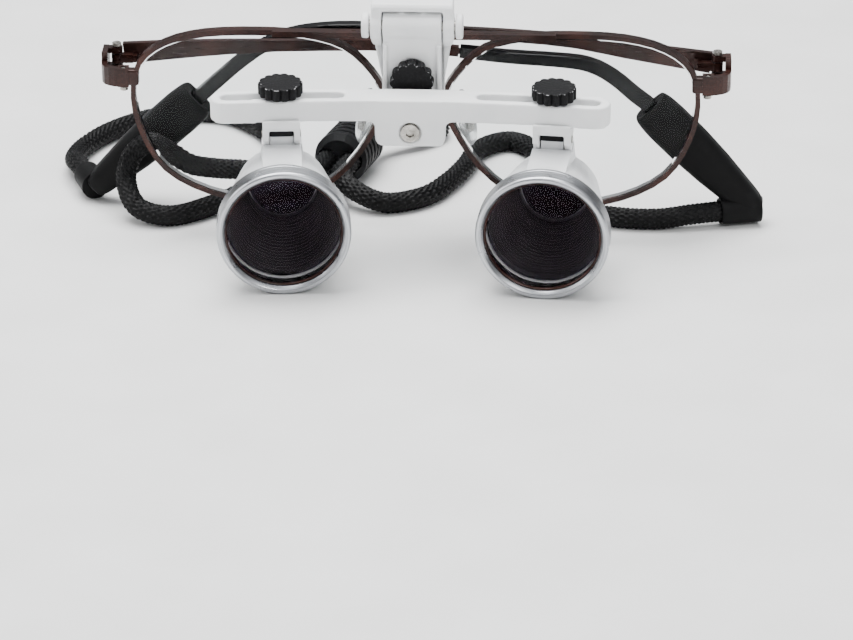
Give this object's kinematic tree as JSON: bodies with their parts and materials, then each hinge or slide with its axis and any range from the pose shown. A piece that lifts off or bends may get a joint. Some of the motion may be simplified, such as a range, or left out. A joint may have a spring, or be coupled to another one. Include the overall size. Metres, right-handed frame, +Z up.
{
  "type": "dental loupes",
  "caption": "Flip-up dental loupes: tapered magnifier barrels on a slotted crossbar, hinged to metal spectacles with folding temples and a braided neck strap.",
  "frame": {"origin": "centre of the footprint of the spectacles and loupes on the floor, the neck strap left out", "axes": "+X across the spectacle front towards the wearer's right-hand lens as seen from in front, +Y from the loupes back past the spectacle front, +Z up; the front leans 5 degrees forward on its lens barrels and sleeves"},
  "size_m": [0.1621, 0.116, 0.0583],
  "materials": {
    "brown_metal": "dark reddish-brown lacquer, satin",
    "white_moulding": "white injection moulding, satin",
    "brushed_ring": "turned and brushed",
    "barrel_paint": "pale silver-white coating",
    "screw_steel": "bright",
    "black_knob": "matt black",
    "tip_black": "gloss black",
    "rubber_black": "matt",
    "braid": "black braided cord",
    "clear_lens": "clear",
    "coated_glass": "purple and amber coating",
    "silicone": "clear soft silicone"
  },
  "bodies": {
    "front": {"front_frame": "brown_metal", "endpiece_left": "brown_metal", "endpiece_right": "brown_metal", "rim_screw_left": "screw_steel", "rim_screw_right": "screw_steel", "hinge_screw_left": "screw_steel", "hinge_screw_right": "screw_steel", "lens_left": "clear_lens", "lens_right": "clear_lens", "pad_arm_left": "brown_metal", "pad_arm_right": "brown_metal", "mount_yoke": "white_moulding", "clamp_plate": "white_moulding", "mount_screw_upper": "screw_steel", "mount_screw_lower": "screw_steel", "pivot_cap_left": "white_moulding", "pivot_cap_right": "white_moulding", "pivot_pin": "screw_steel", "strap_cord_left": "braid", "strap_cord_right": "braid", "strap_tail": "braid", "cord_slider": "black_knob"},
    "pad_left": {"nose_pad_left": "silicone"},
    "pad_right": {"nose_pad_right": "silicone"},
    "flip_arm": {"flip_arm": "white_moulding"},
    "carriage": {"height_carriage": "white_moulding", "crossbar": "white_moulding", "crossbar_screw": "screw_steel"},
    "height_knob": {"height_knob": "black_knob", "height_stud": "screw_steel"},
    "slide_left": {"hanger_left": "white_moulding", "tilt_pin_left": "screw_steel"},
    "pd_knob_left": {"pd_knob_left": "black_knob", "pd_stud_left": "screw_steel"},
    "loupe_left": {"barrel_left": "barrel_paint", "objective_ring_left": "brushed_ring", "objective_lens_left": "coated_glass", "baffle_tube_left": "black_knob", "eyepiece_lens_left": "coated_glass", "eyepiece_ring_left": "brushed_ring"},
    "slide_right": {"hanger_right": "white_moulding", "tilt_pin_right": "screw_steel"},
    "pd_knob_right": {"pd_knob_right": "black_knob", "pd_stud_right": "screw_steel"},
    "loupe_right": {"barrel_right": "barrel_paint", "objective_ring_right": "brushed_ring", "objective_lens_right": "coated_glass", "baffle_tube_right": "black_knob", "eyepiece_lens_right": "coated_glass", "eyepiece_ring_right": "brushed_ring"},
    "temple_right": {"temple_right": "brown_metal", "temple_tip_right": "tip_black", "sleeve_right": "rubber_black"},
    "temple_left": {"temple_left": "brown_metal", "temple_tip_left": "tip_black", "sleeve_left": "rubber_black"}
  },
  "joints": [
    {"name": "flip", "type": "hinge", "parent": "front", "child": "flip_arm", "pos_m": [0, -0.00305, 0.05246], "axis": [-1, 0, 0], "range_deg": [0, 95]},
    {"name": "height_slide", "type": "slide", "parent": "flip_arm", "child": "carriage", "axis": [0, -0.0872, 0.9962], "range_m": [-0.003, 0.003]},
    {"name": "height_knob_turn", "type": "hinge", "parent": "carriage", "child": "height_knob", "pos_m": [0, -0.00504, 0.04085], "axis": [0, -0.9962, -0.0872], "range_deg": [0, 360]},
    {"name": "pd_slide_left", "type": "hinge", "parent": "carriage", "child": "slide_left", "pos_m": [0, -0.32006, 0.00837], "axis": [0, -0.0872, 0.9962], "range_deg": [-1.85, 2]},
    {"name": "pd_knob_turn_left", "type": "hinge", "parent": "slide_left", "child": "pd_knob_left", "pos_m": [-0.028, -0.01303, 0.04125], "axis": [0, 0.0872, -0.9962], "range_deg": [0, 360]},
    {"name": "tilt_left", "type": "hinge", "parent": "slide_left", "child": "loupe_left", "pos_m": [-0.02797, -0.01245, 0.03066], "axis": [0.9959, 0.09, 0.0079], "range_deg": [-12, 12]},
    {"name": "pad_left", "type": "hinge", "parent": "front", "child": "pad_left", "pos_m": [-0.0112, 0.0127, 0.02624], "axis": [0, -0.0872, 0.9962], "range_deg": [-10, 10]},
    {"name": "pd_slide_right", "type": "hinge", "parent": "carriage", "child": "slide_right", "pos_m": [0, -0.32006, 0.00837], "axis": [0, 0.0872, -0.9962], "range_deg": [-2.2, 1.5]},
    {"name": "pd_knob_turn_right", "type": "hinge", "parent": "slide_right", "child": "pd_knob_right", "pos_m": [0.0309, -0.0133, 0.04123], "axis": [0, 0.0872, -0.9962], "range_deg": [0, 360]},
    {"name": "tilt_right", "type": "hinge", "parent": "slide_right", "child": "loupe_right", "pos_m": [0.03087, -0.01273, 0.03064], "axis": [0.995, -0.0993, -0.0087], "range_deg": [-12, 12]},
    {"name": "pad_right", "type": "hinge", "parent": "front", "child": "pad_right", "pos_m": [0.0112, 0.0127, 0.02624], "axis": [0, -0.0872, 0.9962], "range_deg": [-10, 10]},
    {"name": "temple_right", "type": "hinge", "parent": "front", "child": "temple_right", "pos_m": [0.06665, 0.01464, 0.03845], "axis": [0, 0.0872, -0.9962], "range_deg": [0, 94], "deforming": ["sleeve_right", "strap_cord_left"]},
    {"name": "temple_left", "type": "hinge", "parent": "front", "child": "temple_left", "pos_m": [-0.06665, 0.01464, 0.03845], "axis": [0, -0.0872, 0.9962], "range_deg": [0, 85.55], "deforming": ["sleeve_left", "strap_cord_right"]}
  ],
  "couplings": [
    {"joint": "temple_left", "follows": "temple_right", "ratio": 0.91}
  ]
}
